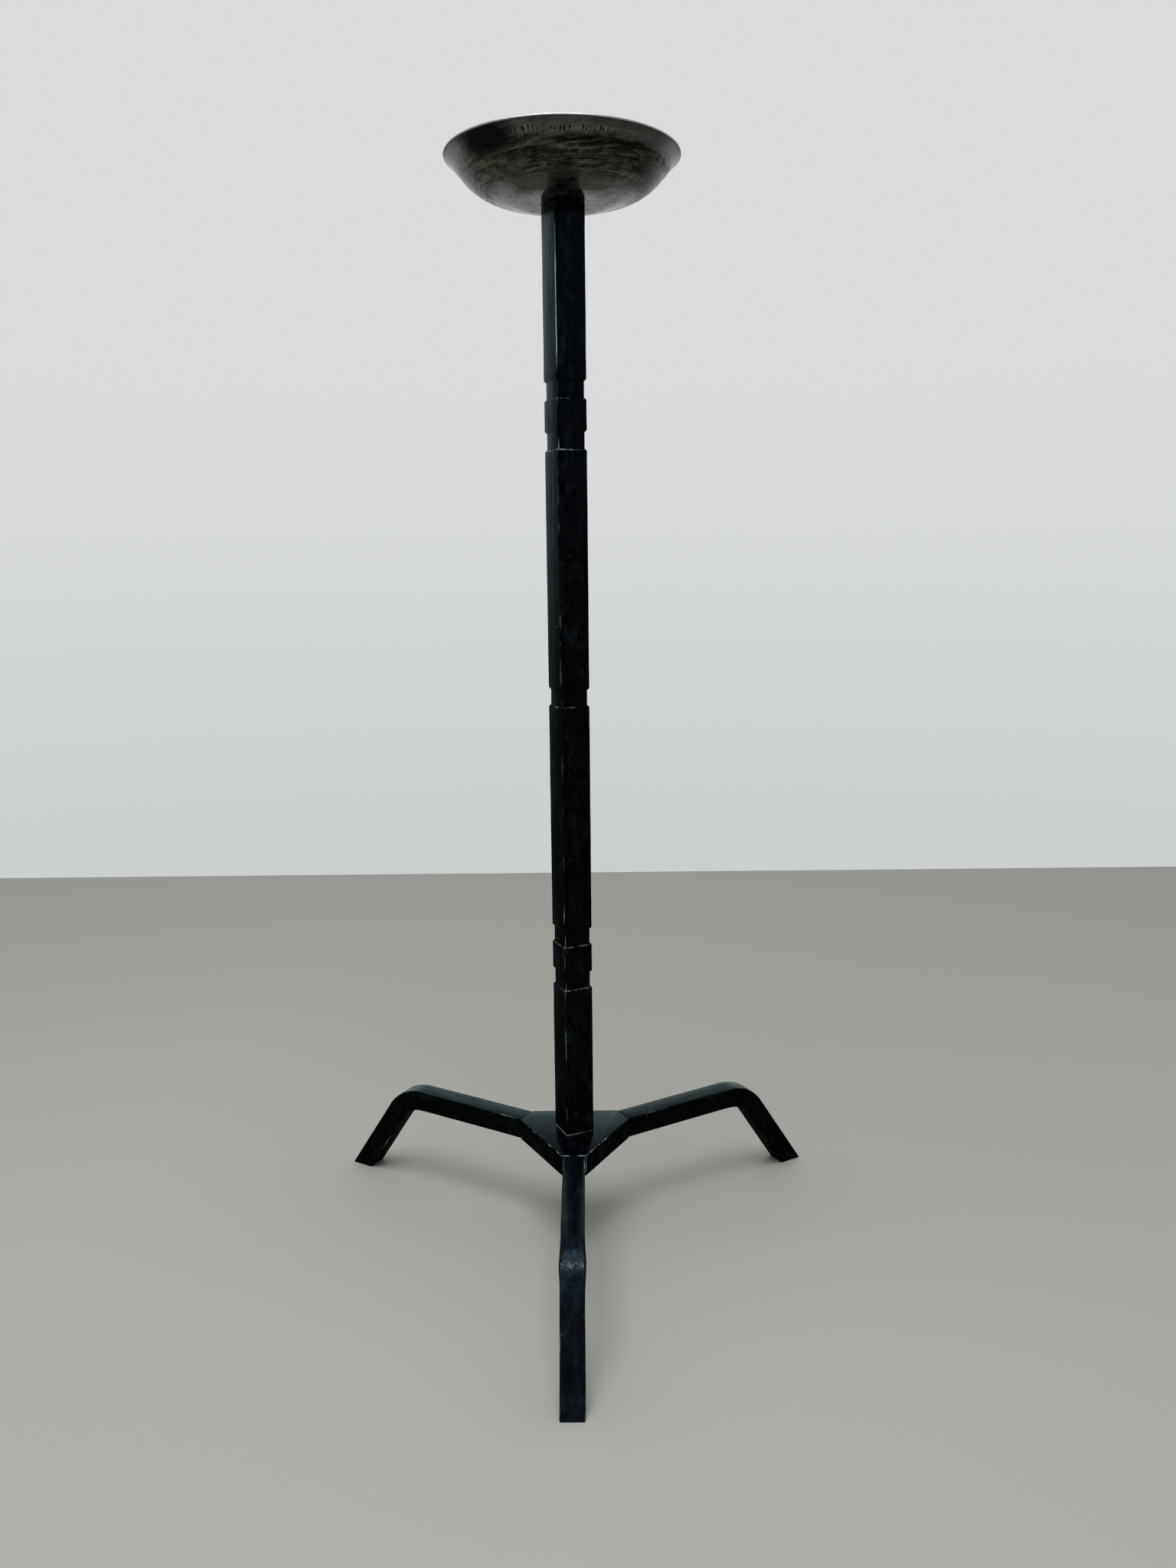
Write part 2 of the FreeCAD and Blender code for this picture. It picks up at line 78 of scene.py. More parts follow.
class Shade:
    """An output in a node tree: arithmetic on it adds Math nodes, and node() adds any other node."""

    def __init__(self, tree, output=None):
        self.tree = tree
        self.output = output

    def node(self, kind, inputs=None, out=0, **settings):
        """Add a node, its settings first, then its sockets' values or links; returns one output."""
        made = self.tree.nodes.new(f"ShaderNode{kind}")
        for name, value in settings.items():
            setattr(made, name, value)
        for name, value in (inputs or {}).items():
            if isinstance(value, Shade):
                self.tree.links.new(value.output, made.inputs[name])
            else:
                made.inputs[name].default_value = value
        return Shade(self.tree, made.outputs[out])

    def math(self, operation, *others):
        return self.node("Math", dict(enumerate([self, *others])), operation=operation)

    def __add__(self, other):
        return self.math("ADD", other)

    def __sub__(self, other):
        return self.math("SUBTRACT", other)

    def __rsub__(self, other):
        return self.node("Math", {0: other, 1: self}, operation="SUBTRACT")

    def __mul__(self, other):
        return self.math("MULTIPLY", other)

    __radd__ = __add__
    __rmul__ = __mul__

    def rise(self, low, high):
        """0 up to low, 1 from high on, and a smooth climb between; a fall where low is the greater."""
        inputs = {"Value": self, "From Min": low, "From Max": high}
        return self.node("MapRange", inputs, interpolation_type="SMOOTHSTEP")

    def noise(self, scale, detail=3.0, roughness=0.55, distortion=0.0):
        """Noise read at this place."""
        sizes = {"Scale": scale, "Detail": detail, "Roughness": roughness, "Distortion": distortion}
        return self.node("TexNoise", {"Vector": self, **sizes})

    def stretch(self, *scale):
        """This place with its axes scaled: a pattern read there is drawn out where the scale is small."""
        return self.node("Mapping", {"Vector": self, "Scale": scale})

    def blend(self, first, second):
        """The first colour where this is 0, the second where it is 1."""
        factor, first_colour, second_colour, mixed_colour = 0, 6, 7, 2
        inputs = {factor: self, first_colour: first, second_colour: second}
        return self.node("Mix", inputs, out=mixed_colour, data_type="RGBA")


def new_material(name, **fixed):
    """A material with a bare shader whose fixed sockets are set; returns it, its shader and its tree."""
    material = bpy.data.materials.new(name)
    material.use_nodes = True
    shader = material.node_tree.nodes["Principled BSDF"]
    for socket, value in fixed.items():
        shader.inputs[socket.replace("_", " ")].default_value = value
    return material, shader, Shade(material.node_tree)


def feed(shader, **links):
    """Link values to a shader's sockets."""
    for socket, value in links.items():
        value.tree.links.new(value.output, shader.inputs[socket.replace("_", " ")])


def painted_iron(name):
    """Black paint on forged bar: drawn-out streaks, dull patches, chips, scuffs, worn arrises.

    It reads where a point lies along and across its own bar, how near it is to an arris, how much
    it is scuffed, and how far hands and dusters have polished it. The rub also carries a painted
    bluish sheen of the overhead light on the knees, and the polish is cut back under the bowl as
    painted shade. Polished paint is its metallic part: nearly black seen square on, and a cold dark
    mirror at a slant.
    """
    material, shader, tree = new_material(name, Specular_IOR_Level=0, Specular_Tint=PAINT_GLOSS)
    place = tree.node("Attribute", out="Vector", attribute_name="bar_place")
    wear = tree.node("Attribute", out="Fac", attribute_name="wear")
    rub_and_sheen = tree.node("Attribute", out="Fac", attribute_name="rub_and_sheen")
    polish_and_shade = tree.node("Attribute", out="Fac", attribute_name="polish_and_shade")

    streaks = place.stretch(1, 1, 0.05).noise(620, detail=6, roughness=0.65)
    broad_streaks = place.stretch(1, 1, 0.04).noise(230, detail=4)
    patches = place.stretch(1, 1, 0.5).noise(42, detail=4, roughness=0.6)
    grain = place.noise(1900, detail=3)
    smudges = place.stretch(1, 1, 0.5).noise(95, detail=5, roughness=0.68)
    mottle = place.stretch(1, 1, 0.8).noise(1050, detail=3, roughness=0.7)
    chipped_areas = place.noise(19, detail=2).rise(0.50, 0.62)
    chips = place.noise(330, detail=2, roughness=0.4).rise(0.755, 0.785) * chipped_areas

    gaps = place.stretch(1, 1, 0.25).noise(120, detail=5, roughness=0.7)
    worn_through = wear.rise(0.08, 0.4) * (gaps + wear * 0.3).rise(0.60, 0.86)
    bare = worn_through.math("MAXIMUM", chips * 0.4)
    scuffs = (rub_and_sheen * place.stretch(1, 1, 1.6).noise(330, detail=6, roughness=0.75)).rise(0.42, 0.62)

    tone = (patches * 0.5 + streaks * 0.5).rise(0.42, 0.62)
    paint = tone.blend(PAINT_BLACK, PAINT_GREY)
    paint = polish_and_shade.blend(paint, PAINT_POLISHED)
    dust = smudges.rise(0.50, 0.74) * grain.rise(0.30, 0.62)
    paint = dust.blend(paint, PAINT_DUSTY)
    # Rubbed paint turns bluish grey: on the knees this is a painted sheen of the overhead light
    paint = (rub_and_sheen * (smudges * 0.5 + mottle * 0.5).rise(0.34, 0.59)).blend(paint, PAINT_RUB_AND_SHEEN)
    paint = scuffs.blend(paint, PAINT_SCUFFED)
    drawn = 0.56 + streaks.rise(0.38, 0.62) * 0.56 + broad_streaks.rise(0.38, 0.62) * 0.30
    height = streaks * 0.5 + grain * 0.3 + broad_streaks * 0.6 - bare * 0.5
    bump = tree.node("Bump", {"Height": height, "Strength": 0.16, "Distance": 0.0004})
    feed(
        shader,
        Base_Color=bare.blend(paint, WORN_STEEL),
        Roughness=0.13 + patches * 0.10,
        Metallic=(polish_and_shade * drawn * (1 - rub_and_sheen) * (1 - dust * 0.4)).math("MAXIMUM", bare * 0.3),
        Normal=bump,
    )
    return material


def mark_wear(mesh, rounded_faces, worn_at):
    """Note on each vertex of a bevel how near it is to the crest of the arris, and how worn that is."""
    wear = mesh.verts.layers.float["wear"]
    rounded = set(rounded_faces)
    verts = {vert for face in rounded for vert in face.verts}
    border = {vert for vert in verts if any(face not in rounded for face in vert.link_faces)}
    for vert in verts - border:
        beside_border = any(edge.other_vert(vert) in border for edge in vert.link_edges)
        vert[wear] = max(vert[wear], worn_at(vert.co) * (FLANK_WEAR if beside_border else 1))


def start_bar():
    """An empty mesh with the notes that the painted iron reads."""
    mesh = bmesh.new()
    mesh.verts.layers.float.new("wear")
    mesh.verts.layers.float.new("rub_and_sheen")
    mesh.verts.layers.float.new("polish_and_shade")
    mesh.verts.layers.float_vector.new("bar_place")
    return mesh


def add_piece(mesh, name, material, node):
    """Turn a mesh into a piece that stands for a CAD node."""
    bmesh.ops.recalc_face_normals(mesh, faces=mesh.faces)
    data = bpy.data.meshes.new(name)
    mesh.to_mesh(data)
    mesh.free()
    data.materials.append(material)
    data.shade_smooth()
    data.set_sharp_from_angle(angle=SMOOTH_ANGLE)
    piece = bpy.data.objects.new(name, data)
    bpy.context.scene.collection.objects.link(piece)
    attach(piece, "root")
    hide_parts(node)


def plate_wear(point):
    """Most on the front end, where feet pass."""
    return FRONT_WEAR if point.y < FRONT_ZONE - PLATE_END else PLATE_WEAR


iron = painted_iron("black_painted_iron")

plate = start_bar()
corners = []
for angle in sorted(LEG_ANGLES.values()):
    out = Vector((math.cos(math.radians(angle)), math.sin(math.radians(angle)), 0))
    across = Vector((-out.y, out.x, 0)) * PLATE_END_WIDTH / 2
    middle = out * PLATE_END + Vector((0, 0, PLATE_LOW))
    corners += [plate.verts.new(middle - across), plate.verts.new(middle + across)]
underside = plate.faces.new(corners)
raised = bmesh.ops.extrude_face_region(plate, geom=[underside], use_keep_orig=True)["geom"]
bmesh.ops.translate(
    plate,
    vec=(0, 0, PLATE_TOP - PLATE_LOW),
    verts=[item for item in raised if isinstance(item, bmesh.types.BMVert)],
)
rounds = bmesh.ops.bevel(
    plate, geom=plate.edges[:], offset=PLATE_EDGE_ROUND, offset_type="OFFSET", affect="EDGES",
    segments=ROUND_STEPS, profile=0.5, material=-1,
)
mark_wear(plate, rounds["faces"], plate_wear)
# The bolt's pocket is sunk into the underside
underside = min(plate.faces, key=lambda face: face.calc_center_median().z)
underside_edges = underside.edges[:]
bmesh.ops.delete(plate, geom=[underside], context="FACES_ONLY")
mouth = bmesh.ops.create_circle(
    plate, segments=BOLT_POCKET_FACETS, radius=BOLT_POCKET_RADIUS,
    matrix=Matrix.Translation((0, 0, PLATE_LOW)),
)["verts"]
mouth_edges = list({edge for vert in mouth for edge in vert.link_edges})
bmesh.ops.triangle_fill(plate, edges=underside_edges + mouth_edges, use_beauty=True, use_dissolve=False)
sunk = bmesh.ops.extrude_edge_only(plate, edges=mouth_edges)["geom"]
sunk_verts = [item for item in sunk if isinstance(item, bmesh.types.BMVert)]
sunk_edges = [item for item in sunk if isinstance(item, bmesh.types.BMEdge)]
bmesh.ops.translate(plate, vec=(0, 0, BOLT_POCKET_DEPTH), verts=sunk_verts)
pocket_top = [edge for edge in sunk_edges if all(vert in sunk_verts for vert in edge.verts)]
bmesh.ops.contextual_create(plate, geom=pocket_top)
bar_place = plate.verts.layers.float_vector["bar_place"]
polish_and_shade = plate.verts.layers.float["polish_and_shade"]
for vert in plate.verts:
    vert[bar_place] = vert.co
    vert[polish_and_shade] = PLATE_POLISH if vert.co.z > PLATE_TOP - TINY else SIDE_POLISH
add_piece(plate, "plate", iron, "base_plate")

# Legs: square bar of the same black-painted steel, bent hot over a former, so that the metal on
# the inside of the knee has bulged sideways. Each is butted to a cut corner of the plate on a
# hidden threaded stud, and its foot is cut flat to the floor.
LEG_WIDTH = 0.020
LEG_REACH = 0.2735
LEG_SLOPE = math.radians(55.7)
KNEE_INSIDE = 0.028
KNEE_OUTSIDE = KNEE_INSIDE + LEG_WIDTH
# How far the inside of the knee bulges sideways, the outside is pinched, and both spread along the bar
KNEE_BULGE = 0.0013
KNEE_PINCH = 0.0005
KNEE_SPREAD = 0.35
# The scuffed stripe round the knee, which also carries a painted sheen of the overhead light, and how it
# fades uphill and down
KNEE_SHEEN_SCUFF = math.radians(40)
KNEE_SHEEN_SCUFF_WIDTH = math.radians(9)
KNEE_SHEEN_SCUFF_LEAD, KNEE_LEAD_SHEEN_RUB = math.radians(18), 0.28
KNEE_SHEEN_SCUFF_TAIL, KNEE_TAIL_SHEEN_RUB = math.radians(35), 0.60
SHIN_SHEEN_RUB = 0.14
# Polish and rub of each leg's top: the front one is scuffed dull by feet
TOP_POLISH = {"front": 0.68, "right": 1.0, "left": 1.0}
TOP_RUB = {"front": 0.16, "right": 0.0, "left": 0.0}
KNEE_SHINE_END = math.radians(40)
# Wear of the arrises: beside the plate, on from there to the knee, on the shin, and at the butted end
WORN_START = 0.028
START_WEAR, TOP_WEAR, SHIN_WEAR, END_WEAR = 0.5, 0.28, 0.45, 0.5
LEG_EDGE_ROUND = 0.0009
LEG_END_ROUND = 0.0005
TOP_STEPS, KNEE_STEPS, SHIN_STEPS = 14, 18, 16
SHIN_STEP = 0.0075
# Hammer marks leave the ends true, and each leg has its own stretch of the paint's pattern
FORGING = 0.00016
FORGING_SCALE = 38
FORGING_SEED = 5
TRUE_END = 0.004
PATTERN_SHIFT = 0.01

KNEE_START = LEG_REACH - PLATE_TOP / math.tan(LEG_SLOPE) - KNEE_OUTSIDE * math.tan(LEG_SLOPE / 2)
KNEE_CENTRE = Vector((KNEE_START, 0, PLATE_TOP - KNEE_OUTSIDE))
DOWNWARD = Vector((math.cos(LEG_SLOPE), 0, -math.sin(LEG_SLOPE)))
KNEE_MIDDLE = KNEE_INSIDE + LEG_WIDTH / 2


def sweep(mesh, ring, steps, move=(0, 0, 0), centre=(0, 0, 0), angle=0.0):
    """Carry a ring of edges on, by a step repeated or round a bend; returns the last ring."""
    swept = bmesh.ops.spin(
        mesh, geom=ring, cent=centre, axis=(0, 1, 0), dvec=move, angle=angle, steps=steps,
        use_duplicate=False,
    )
    return swept["geom_last"]


def place_on_leg(point):
    """Where a point lies in the straightened bar: sideways, through its thickness, and along."""
    from_knee = point - KNEE_CENTRE
    turn = math.atan2(from_knee.x, from_knee.z)
    if from_knee.x < 0:
        return Vector((point.y, from_knee.z - KNEE_MIDDLE, point.x))
    if turn < LEG_SLOPE:
        radius = math.hypot(from_knee.x, from_knee.z)
        return Vector((point.y, radius - KNEE_MIDDLE, KNEE_START + turn * KNEE_MIDDLE))
    outward = Vector((math.sin(LEG_SLOPE), 0, math.cos(LEG_SLOPE)))
    along = KNEE_START + LEG_SLOPE * KNEE_MIDDLE + from_knee.dot(DOWNWARD)
    return Vector((point.y, from_knee.dot(outward) - KNEE_MIDDLE, along))


def forge(verts, bar_place):
    """Pull the vertices a little out of true, as hammer and tongs leave them."""
    for vert in verts:
        vert.co += noise.noise_vector(vert[bar_place] * FORGING_SCALE) * FORGING


def leg_wear(point):
    """Most beside the plate, a little less on the shin, least between them."""
    if point.x < PLATE_END + WORN_START:
        return START_WEAR
    return SHIN_WEAR if point.z < KNEE_CENTRE.z else TOP_WEAR


def knee_sheen_and_rub(off_stripe, top_rub):
    """How rubbed the upper side is, and how strong its painted sheen of the overhead light, by the angle
    past the scuffed stripe.
    """
    stripe = math.exp(-((off_stripe / KNEE_SHEEN_SCUFF_WIDTH) ** 2))
    if off_stripe > 0:
        return max(stripe, KNEE_TAIL_SHEEN_RUB * math.exp(-((off_stripe / KNEE_SHEEN_SCUFF_TAIL) ** 2)), SHIN_SHEEN_RUB)
    return max(stripe, KNEE_LEAD_SHEEN_RUB * math.exp(-((off_stripe / KNEE_SHEEN_SCUFF_LEAD) ** 2)), top_rub)


noise.seed_set(FORGING_SEED)
for side, angle in LEG_ANGLES.items():
    leg = start_bar()
    square = bmesh.ops.create_circle(
        leg, segments=4, radius=LEG_WIDTH / math.sqrt(2), matrix=Matrix.Rotation(math.pi / 4, 4, "Z")
    )["verts"]
    bmesh.ops.rotate(leg, verts=square, cent=(0, 0, 0), matrix=Matrix.Rotation(math.pi / 2, 3, "Y"))
    bmesh.ops.translate(leg, verts=square, vec=(PLATE_END, 0, PLATE_TOP - LEG_WIDTH / 2))
    ring = leg.verts[:] + leg.edges[:]
    ring = sweep(leg, ring, TOP_STEPS, move=((KNEE_START - PLATE_END) / TOP_STEPS, 0, 0))
    ring = sweep(leg, ring, KNEE_STEPS, centre=KNEE_CENTRE, angle=LEG_SLOPE)
    sweep(leg, ring, SHIN_STEPS, move=DOWNWARD * SHIN_STEP)
    bmesh.ops.bisect_plane(
        leg, geom=leg.verts[:] + leg.edges[:] + leg.faces[:], plane_co=(0, 0, 0), plane_no=(0, 0, -1),
        clear_outer=True,
    )
    # Only the butted end has four sides here: the sole's outline has more, and is closed last
    bmesh.ops.holes_fill(leg, edges=[edge for edge in leg.edges if edge.is_boundary], sides=4)
    long_edges = []
    for edge in leg.edges:
        first, last = (place_on_leg(vert.co) for vert in edge.verts)
        if abs(first.x - last.x) < TINY and abs(first.y - last.y) < TINY:
            long_edges.append(edge)
    rounds = bmesh.ops.bevel(
        leg, geom=long_edges, offset=LEG_EDGE_ROUND, offset_type="OFFSET", affect="EDGES",
        segments=ROUND_STEPS, profile=0.5, material=-1,
    )
    mark_wear(leg, rounds["faces"], leg_wear)
    butted_end = max(leg.faces, key=lambda face: len(face.verts))
    rounds = bmesh.ops.bevel(
        leg, geom=butted_end.edges[:], offset=LEG_END_ROUND, offset_type="OFFSET", affect="EDGES",
        segments=ROUND_STEPS, profile=0.5, material=-1,
    )
    mark_wear(leg, rounds["faces"], lambda point: END_WEAR)
    # The sole's edges stay sharp on the floor
    bmesh.ops.holes_fill(leg, edges=[edge for edge in leg.edges if edge.is_boundary], sides=0)
    bar_place = leg.verts.layers.float_vector["bar_place"]
    polish_and_shade = leg.verts.layers.float["polish_and_shade"]
    rub_and_sheen = leg.verts.layers.float["rub_and_sheen"]
    for vert in leg.verts:
        lies = place_on_leg(vert.co)
        vert[polish_and_shade] = SIDE_POLISH
        if lies.y > LEG_WIDTH / 2 - LEG_EDGE_ROUND / 2:
            bend = (lies.z - KNEE_START) / KNEE_MIDDLE
            dulled = max(0, min(1, bend / KNEE_SHINE_END)) ** 2
            vert[polish_and_shade] = TOP_POLISH[side] + (SIDE_POLISH - TOP_POLISH[side]) * dulled
            vert[rub_and_sheen] = knee_sheen_and_rub(bend - KNEE_SHEEN_SCUFF, TOP_RUB[side])
        vert[bar_place] = lies + Vector((0, 0, angle * PATTERN_SHIFT))
        past_middle = (lies.z - KNEE_START) / KNEE_MIDDLE / LEG_SLOPE - 0.5
        if abs(past_middle) < 0.5 + KNEE_SPREAD:
            swell = math.cos(math.pi * past_middle / (1 + 2 * KNEE_SPREAD)) ** 2
            inside = 0.5 - lies.y / LEG_WIDTH
            vert.co.y *= 1 + swell * (KNEE_BULGE * inside - KNEE_PINCH * (1 - inside)) / (LEG_WIDTH / 2)
    forged = [vert for vert in leg.verts if vert.co.z > TRUE_END and vert.co.x > PLATE_END + TRUE_END]
    forge(forged, bar_place)
    bmesh.ops.rotate(
        leg, verts=leg.verts, cent=(0, 0, 0), matrix=Matrix.Rotation(math.radians(angle), 3, "Z")
    )
    add_piece(leg, f"{side}_leg", iron, f"leg_{side}")

# Fasteners: zinc-plated steel. The studs are screwed half into a leg and half into the plate, and
# a socket-head bolt with its washer comes up through the plate into the foot of the stem.
ZINC_PALE = (0.52, 0.52, 0.52, 1)
ZINC_DULL = (0.30, 0.30, 0.31, 1)


def zinc_plated(name):
    """Bright zinc gone cloudy, with fine turning marks."""
    material, shader, tree = new_material(name, Metallic=1.0)
    place = tree.node("TexCoord", out="Object")
    cloud = place.noise(240, detail=4)
    marks = place.stretch(1, 1, 6).noise(1500, detail=2)
    bump = tree.node("Bump", {"Height": marks, "Strength": 0.15, "Distance": 0.0002})
    feed(
        shader,
        Base_Color=cloud.rise(0.35, 0.65).blend(ZINC_DULL, ZINC_PALE),
        Roughness=0.30 + cloud * 0.2,
        Normal=bump,
    )
    return material


zinc = zinc_plated("zinc_plate")
for fastener in ("leg_stud_front", "leg_stud_right", "leg_stud_left", "stem_bolt", "stem_bolt_washer"):
    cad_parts[fastener].data.materials.clear()
    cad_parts[fastener].data.materials.append(zinc)

# Stem: one solid square bar of black-painted steel, set down all round in five notches between
# plain lengths and two short collars. It stands on the plate, turned against the legs, and is
# tapped at its foot for the bolt and at its head for the spike.
STEM_WIDTH = 0.028
STEM_TURN = math.radians(25)
STEM_FOOT, STEM_HEAD = (corner.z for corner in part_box("stem_bar"))
FOOT_BLOCK, COLLAR, SPAN, NOTCH = 0.145, 0.026, 0.206, 0.016
NOTCH_DEPTH = 0.0015
NOTCH_SLOPE = 0.0012
STEM_EDGE_ROUND = 0.0009
# Cuts across the plain lengths let them be uneven, clear of every rim, and the two ends stay true
STEM_STEP = 0.012
RIM_CLEARANCE = 0.004
STEM_TRUE_END = 0.002
# Polish of the stem by height: dull below, rubbed where it is gripped, and cut back close to the bowl as
# painted shade under it
STEM_POLISH_AND_SHADE = (
    (0.0, 0.06),
    (0.48, 0.075),
    (0.56, 0.13),
    (0.68, 0.39),
    (0.80, 0.50),
    (0.88, 0.75),
    (0.915, 0.78),
    (0.936, 0.12),
)
# Rub climbs to its most where the stem is gripped
GRIP_START, GRIP_CLIMB, GRIP_RUB = 0.70, 0.14, 0.03
# Wear of the arrises: shoulders that face down or up, under the bowl, where it is gripped, and elsewhere
# More wear on shoulders facing up is partly a painted highlight of the light from above; less wear under
# the bowl is painted shade
GRIPPED = 0.80
UNDER_BOWL_SHADE = 0.014
DOWN_WEAR, UP_WEAR_AND_HIGHLIGHT, HEAD_WEAR_IN_SHADE, GRIP_WEAR, STEM_WEAR = 0.12, 0.5, 0.3, 1.15, 0.42
# The foot is rubbed bare all along, most on the side that faces left, and the wear fades above it
FOOT_BARE, FOOT_FADE = 0.0014, 0.0024
LEFT_FOOT_WEAR, FOOT_WEAR = 1.7, 0.4


def stem_wear(point):
    """Most where it is gripped, less under the bowl as painted shade; the notches' shoulders are worn
    where they face up, partly as a painted highlight of the light from above, hardly where down.
    """
    if min(abs(point.z - shoulder) for shoulder in shoulders[1::2]) < NOTCH_SLOPE:
        return DOWN_WEAR
    if min(abs(point.z - shoulder) for shoulder in shoulders[::2]) < NOTCH_SLOPE:
        return UP_WEAR_AND_HIGHLIGHT
    if point.z > STEM_HEAD - UNDER_BOWL_SHADE:
        return HEAD_WEAR_IN_SHADE
    return GRIP_WEAR if point.z > GRIPPED else STEM_WEAR


def cut_across(mesh, height):
    """Add a ring of edges at a height."""
    everything = mesh.verts[:] + mesh.edges[:] + mesh.faces[:]
    bmesh.ops.bisect_plane(mesh, geom=everything, plane_co=(0, 0, height), plane_no=(0, 0, 1))


stem = start_bar()
bmesh.ops.create_cube(stem, size=1.0)
bmesh.ops.scale(stem, vec=(STEM_WIDTH, STEM_WIDTH, STEM_HEAD - STEM_FOOT), verts=stem.verts)
bmesh.ops.translate(stem, vec=(0, 0, (STEM_FOOT + STEM_HEAD) / 2), verts=stem.verts)

# Each notch's lower shoulder, which faces up, and its upper one, which faces down
shoulders = []
height = STEM_FOOT
for plain_length in (FOOT_BLOCK, COLLAR, SPAN, SPAN, COLLAR):
    height += plain_length
    lower, upper = height, height + NOTCH
    for level in (lower, lower + NOTCH_SLOPE, upper - NOTCH_SLOPE, upper):
        cut_across(stem, level)
    set_down = [v for v in stem.verts if lower + NOTCH_SLOPE / 2 < v.co.z < upper - NOTCH_SLOPE / 2]
    narrower = 1 - 2 * NOTCH_DEPTH / STEM_WIDTH
    bmesh.ops.scale(stem, vec=(narrower, narrower, 1), verts=set_down)
    shoulders += [lower, upper]
    height = upper
rims = shoulders + [STEM_FOOT, STEM_HEAD]
arrises = []
for edge in stem.edges:
    low, high = sorted(vert.co.z for vert in edge.verts)
    if high - low > TINY or min(abs(low - rim) for rim in rims) < TINY:
        arrises.append(edge)
rounds = bmesh.ops.bevel(
    stem, geom=arrises, offset=STEM_EDGE_ROUND, offset_type="OFFSET", affect="EDGES",
    segments=ROUND_STEPS, profile=0.5, material=-1, clamp_overlap=True,
)
mark_wear(stem, rounds["faces"], lambda point: 1)
cut_across(stem, STEM_FOOT + FOOT_BARE)
cut_across(stem, STEM_FOOT + FOOT_FADE)
level = STEM_FOOT + STEM_STEP
while level < STEM_HEAD - STEM_STEP:
    if min(abs(level - rim) for rim in rims) > RIM_CLEARANCE:
        cut_across(stem, level)
    level += STEM_STEP
bar_place = stem.verts.layers.float_vector["bar_place"]
wear = stem.verts.layers.float["wear"]
rub_and_sheen = stem.verts.layers.float["rub_and_sheen"]
polish_and_shade = stem.verts.layers.float["polish_and_shade"]
for vert in stem.verts:
    vert[bar_place] = vert.co
    vert[wear] *= stem_wear(vert.co)
    if vert.co.z < STEM_FOOT + FOOT_BARE + TINY:
        vert[wear] = LEFT_FOOT_WEAR if vert.co.x < STEM_EDGE_ROUND - STEM_WIDTH / 2 else FOOT_WEAR
    vert[rub_and_sheen] = GRIP_RUB * max(0, min(1, (vert.co.z - GRIP_START) / GRIP_CLIMB))
    for (low, dull), (high, bright) in zip(STEM_POLISH_AND_SHADE, STEM_POLISH_AND_SHADE[1:]):
        if low <= vert.co.z < high:
            vert[polish_and_shade] = dull + (bright - dull) * (vert.co.z - low) / (high - low)
forged = [v for v in stem.verts if STEM_FOOT + STEM_TRUE_END < v.co.z < STEM_HEAD - STEM_TRUE_END]
forge(forged, bar_place)
bmesh.ops.rotate(stem, verts=stem.verts, cent=(0, 0, 0), matrix=Matrix.Rotation(STEM_TURN, 3, "Z"))
add_piece(stem, "stem", iron, "stem_bar")

# Drip bowl: bare sheet steel, spun to a shallow dish with a flared lip and left dark from the
# fire. Where the lip was turned out the sheet has puckered in a row of short creases. The bowl
# rests on the stem's head and is clamped there by the spike's collar.
BOWL_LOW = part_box("drip_bowl")[0].z
BOWL_SHEET = 0.0015
BOWL_HOLE = 0.0044
BOWL_SEAT = 0.0305
BEND_RADIUS, DISH_ANGLE = 0.054, math.radians(16)
DISH_LENGTH = 0.0178
KNUCKLE_RADIUS, WALL_ANGLE = 0.0455, math.radians(49.4)
WALL_LENGTH = 0.0105
LIP_RADIUS, LIP_ANGLE = 0.053, math.radians(38.2)
SEAT_STEPS, BEND_STEPS, DISH_STEPS, KNUCKLE_STEPS, WALL_STEPS, LIP_STEPS = 5, 8, 6, 10, 9, 8
BOWL_FACETS = 640
RIM_ROUND = 0.0006
RIM_STEPS = 3
RIM_CORNER = math.radians(60)
# The creases lie a little past the wall's end, and each has its own place, strength and shift
CREASES = 168
CREASE_SEED = 7
CREASE_DEPTH = 0.0004
CREASE_WIDTH = 0.0010
CREASE_REACH = 0.001872
CREASE_OFFSET = 0.0006
CREASE_JITTER = 0.3
CREASE_STRENGTHS = (0.75, 1.15)
CREASE_SHIFT = 0.0008
# How far the painted highlight on the ridges spreads either side of a crease
RIDGE_HIGHLIGHT_SPREAD = 2.4
# Where the lip is puckered, in degrees from the front, and how strongly
PUCKERED = ((-30, -10.5, 1.0), (-6, 6, 1.0), (9.5, 24.5, 1.0), (33, 49, 0.55))
SMOOTHER = 0.22
# The sheet is uneven outside its seat, fully so from some way out
UNEVEN = 0.0002
UNEVEN_SCALE = 31
UNEVEN_START, UNEVEN_FULL = 0.004, 0.03

BARE_EDGE = (0.34, 0.36, 0.38, 1)
GREY_STEEL = (0.098, 0.097, 0.082, 1)
WARM_STEEL = (0.163, 0.157, 0.120, 1)
LIP_STEEL = (0.108, 0.112, 0.106, 1)
RIDGE_HIGHLIGHT = (0.24, 0.245, 0.235, 1)
BLACK_SCALE = (0.0020, 0.0020, 0.0017, 1)
BROWN_SCALE = (0.024, 0.0205, 0.0135, 1)
RUST = (0.042, 0.021, 0.014, 1)
# Where scale grows from the dish outward, the bare ends to left and right, and the lip's height
FIRED_FROM = (0.066, 0.082)
ENDS_FROM = (0.062, 0.092)
LIP_FROM = (0.0250, 0.0285)
# A patch of soot, a dark band on the right, and a dark line under the rim
SOOT_PATCH = Vector((-0.0580, -0.0700, 0.9602))
SOOT_FLATNESS = 2.4
SOOT_REACH = (0.041, 0.017)
BAND_HEIGHT = 0.0235
BAND_NARROWNESS = 240
BAND_FROM = (-0.034, 0.004)
EDGE_LINE_FROM = (0.0349, 0.0355)
# Strokes climb to the right, and the scale is thicker there
STROKE_CLIMB = 0.15
SCALE_LEAN = 0.4


